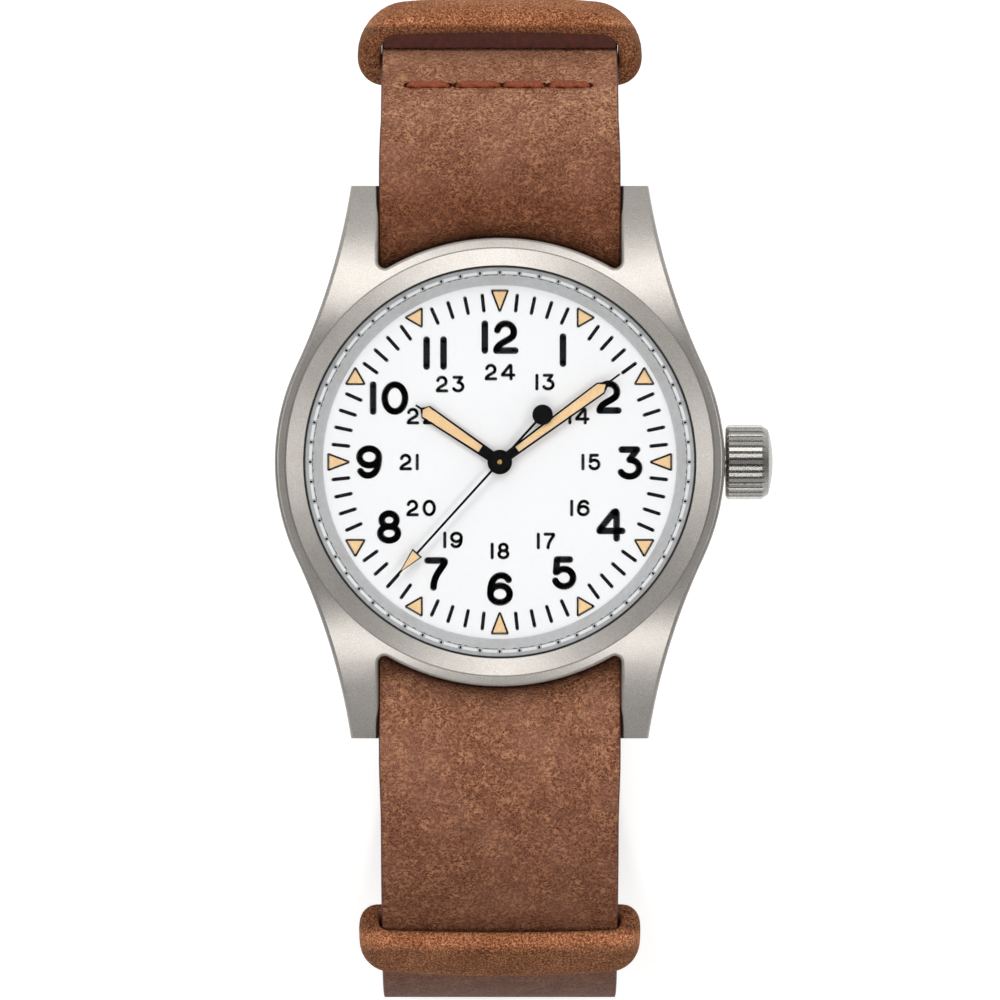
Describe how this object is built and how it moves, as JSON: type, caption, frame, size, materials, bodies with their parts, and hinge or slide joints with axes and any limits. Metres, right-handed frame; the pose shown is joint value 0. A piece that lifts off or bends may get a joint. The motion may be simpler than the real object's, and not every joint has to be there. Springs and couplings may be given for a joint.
{
  "type": "field watch",
  "caption": "Hand-wound field watch with a round lugged steel case, domed crystal, white dial, hands, gear train, fluted crown and pull-through leather strap with buckle.",
  "frame": {"origin": "on the table, on the strap tail's flat underside, straight below the dial's centre", "axes": "+Z out of the dial, +Y towards 12 o'clock, +X towards the crown"},
  "size_m": [0.0423, 0.0864, 0.0726],
  "materials": {
    "case_steel": "bead-blasted matt steel",
    "crystal_glass": "clear domed glass",
    "seal_rubber": "black rubber",
    "seal_plastic": "pale plastic ring",
    "ring_grey": "pale grey ring with a minute scale",
    "dial_white": "matt white with printed numerals",
    "hand_black": "matt black",
    "lume_cream": "cream luminous filling",
    "bar_steel": "plain steel",
    "plate_nickel": "nickel-plated brass",
    "gear_brass": "gilt brass",
    "gear_steel": "polished steel",
    "ruby": "synthetic ruby",
    "holder_plastic": "pale plastic",
    "strap_leather": "brown leather with painted edges",
    "keeper_leather": "brown leather with a raw nap",
    "stitch_thread": "waxed orange-brown thread"
  },
  "bodies": {
    "case": {"case_middle": "case_steel", "bezel": "case_steel", "crystal": "crystal_glass", "crystal_gasket": "seal_plastic", "dial_flange": "ring_grey", "case_back": "case_steel", "case_back_gasket": "seal_rubber", "spring_bar_12": "bar_steel", "spring_bar_6": "bar_steel", "dial": "dial_white", "crown_tube": "bar_steel", "main_plate": "plate_nickel", "movement_holder": "holder_plastic", "barrel_bridge": "plate_nickel", "train_bridge": "plate_nickel", "balance_cock": "plate_nickel", "pallet_bridge": "plate_nickel", "bridge_screws": "gear_steel", "jewels": "ruby", "main_strap": "strap_leather", "under_strap": "strap_leather", "seam_stitches": "stitch_thread", "lower_keeper": "keeper_leather"},
    "minute": {"centre_wheel": "gear_brass", "cannon_pinion": "gear_steel", "minute_hand": "hand_black", "minute_hand_lume": "lume_cream"},
    "hour": {"hour_wheel": "gear_brass", "hour_hand": "hand_black", "hour_hand_lume": "lume_cream"},
    "motion": {"minute_wheel": "gear_brass"},
    "setting": {"setting_wheel": "gear_steel"},
    "third": {"third_wheel": "gear_brass"},
    "seconds": {"fourth_wheel": "gear_brass", "seconds_hand": "hand_black", "seconds_hand_lume": "lume_cream"},
    "escape": {"escape_wheel": "gear_steel"},
    "barrel": {"barrel": "gear_brass", "barrel_cover": "gear_brass", "mainspring": "gear_steel"},
    "ratchet": {"ratchet_wheel": "gear_steel", "barrel_arbor": "gear_steel"},
    "crown_gear": {"crown_wheel": "gear_steel"},
    "click": {"click": "gear_steel"},
    "winding": {"winding_pinion": "gear_steel"},
    "crown": {"crown": "case_steel", "winding_stem": "gear_steel", "crown_gasket": "seal_rubber"},
    "clutch": {"sliding_clutch": "gear_steel"},
    "lever": {"setting_lever": "gear_steel"},
    "yoke": {"yoke": "gear_steel"},
    "pallet": {"pallet_fork": "gear_steel", "pallet_stones": "ruby"},
    "balance": {"balance_wheel": "gear_brass", "hairspring": "gear_steel"},
    "buckle": {"buckle_frame": "case_steel", "buckle_bar": "bar_steel"},
    "tongue": {"buckle_tongue": "case_steel"},
    "keeper": {"upper_keeper": "keeper_leather"}
  },
  "joints": [
    {"name": "minute_turn", "type": "hinge", "parent": "case", "child": "minute", "pos_m": [0, 0, 0.06929], "axis": [0, 0, -1], "continuous": true},
    {"name": "hour_turn", "type": "hinge", "parent": "case", "child": "hour", "pos_m": [0, 0, 0.06889], "axis": [0, 0, -1], "continuous": true},
    {"name": "minute_wheel_turn", "type": "hinge", "parent": "case", "child": "motion", "pos_m": [0.00239, -0.00138, 0.06745], "axis": [0, 0, -1], "continuous": true},
    {"name": "setting_wheel_turn", "type": "hinge", "parent": "case", "child": "setting", "pos_m": [0.00559, -0.00099, 0.06745], "axis": [0, 0, -1], "continuous": true},
    {"name": "third_turn", "type": "hinge", "parent": "case", "child": "third", "pos_m": [-0.00337, 0.00194, 0.06561], "axis": [0, 0, -1], "continuous": true},
    {"name": "seconds_turn", "type": "hinge", "parent": "case", "child": "seconds", "pos_m": [0, 0, 0.06539], "axis": [0, 0, -1], "continuous": true},
    {"name": "escape_turn", "type": "hinge", "parent": "case", "child": "escape", "pos_m": [-0.00066, -0.00376, 0.06609], "axis": [0, 0, -1], "continuous": true},
    {"name": "barrel_turn", "type": "hinge", "parent": "case", "child": "barrel", "pos_m": [0.00294, 0.00509, 0.06609], "axis": [0, 0, -1], "continuous": true},
    {"name": "crown_turn", "type": "hinge", "parent": "case", "child": "winding", "pos_m": [0.0102, 0, 0.06649], "axis": [1, 0, 0], "continuous": true},
    {"name": "crown_pull", "type": "slide", "parent": "winding", "child": "crown", "axis": [1, 0, 0], "range_m": [0, 0.001]},
    {"name": "clutch_shift", "type": "slide", "parent": "winding", "child": "clutch", "axis": [1, 0, 0], "range_m": [-0.0007, 0]},
    {"name": "crown_wheel_turn", "type": "hinge", "parent": "case", "child": "crown_gear", "pos_m": [0.00774, 0, 0.06475], "axis": [0, 0, -1], "continuous": true},
    {"name": "ratchet_turn", "type": "hinge", "parent": "case", "child": "ratchet", "pos_m": [0.00294, 0.00509, 0.06475], "axis": [0, 0, -1], "continuous": true},
    {"name": "click_swing", "type": "hinge", "parent": "case", "child": "click", "pos_m": [0.0063, 0.0096, 0.06475], "axis": [0, 0, -1], "range_deg": [0, 12]},
    {"name": "lever_swing", "type": "hinge", "parent": "case", "child": "lever", "pos_m": [0.0112, 0.003, 0.06749], "axis": [0, 0, 1], "range_deg": [0, 20.16]},
    {"name": "yoke_swing", "type": "hinge", "parent": "case", "child": "yoke", "pos_m": [0.0082, 0.0042, 0.06736], "axis": [0, 0, 1], "range_deg": [-9.43, 0]},
    {"name": "pallet_swing", "type": "hinge", "parent": "case", "child": "pallet", "pos_m": [0.00142, -0.00522, 0.06609], "axis": [0, 0, -1], "range_deg": [-4, 4]},
    {"name": "balance_swing", "type": "hinge", "parent": "case", "child": "balance", "pos_m": [0.0041, -0.0071, 0.06534], "axis": [0, 0, -1], "range_deg": [-270, 270], "stiffness_Nm_per_rad": 0.00000018},
    {"name": "buckle_swing", "type": "hinge", "parent": "case", "child": "buckle", "pos_m": [0, 0.0227, 0.0178], "axis": [1, 0, 0], "range_deg": [-90, 5]},
    {"name": "tongue_swing", "type": "hinge", "parent": "buckle", "child": "tongue", "pos_m": [0, 0.0227, 0.0178], "axis": [1, 0, 0], "range_deg": [0, 32]},
    {"name": "keeper_slide", "type": "hinge", "parent": "case", "child": "keeper", "pos_m": [0, 0.01811, 0.04886], "axis": [1, 0, 0], "range_deg": [-9, 1.5]}
  ],
  "couplings": [
    {"joint": "hour_turn", "follows": "minute_turn", "ratio": 0.083333},
    {"joint": "minute_wheel_turn", "follows": "minute_turn", "ratio": -0.33333},
    {"joint": "setting_wheel_turn", "follows": "minute_turn", "ratio": 0.6},
    {"joint": "third_turn", "follows": "minute_turn", "ratio": -8},
    {"joint": "seconds_turn", "follows": "minute_turn", "ratio": 60},
    {"joint": "escape_turn", "follows": "minute_turn", "ratio": -720},
    {"joint": "barrel_turn", "follows": "minute_turn", "ratio": -0.16667},
    {"joint": "crown_wheel_turn", "follows": "crown_turn", "ratio": -0.48276},
    {"joint": "ratchet_turn", "follows": "crown_turn", "ratio": 0.34146},
    {"joint": "clutch_shift", "follows": "crown_pull", "ratio": -0.7},
    {"joint": "lever_swing", "follows": "crown_pull", "rad_per_m": 351.77},
    {"joint": "yoke_swing", "follows": "crown_pull", "rad_per_m": -164.36}
  ]
}
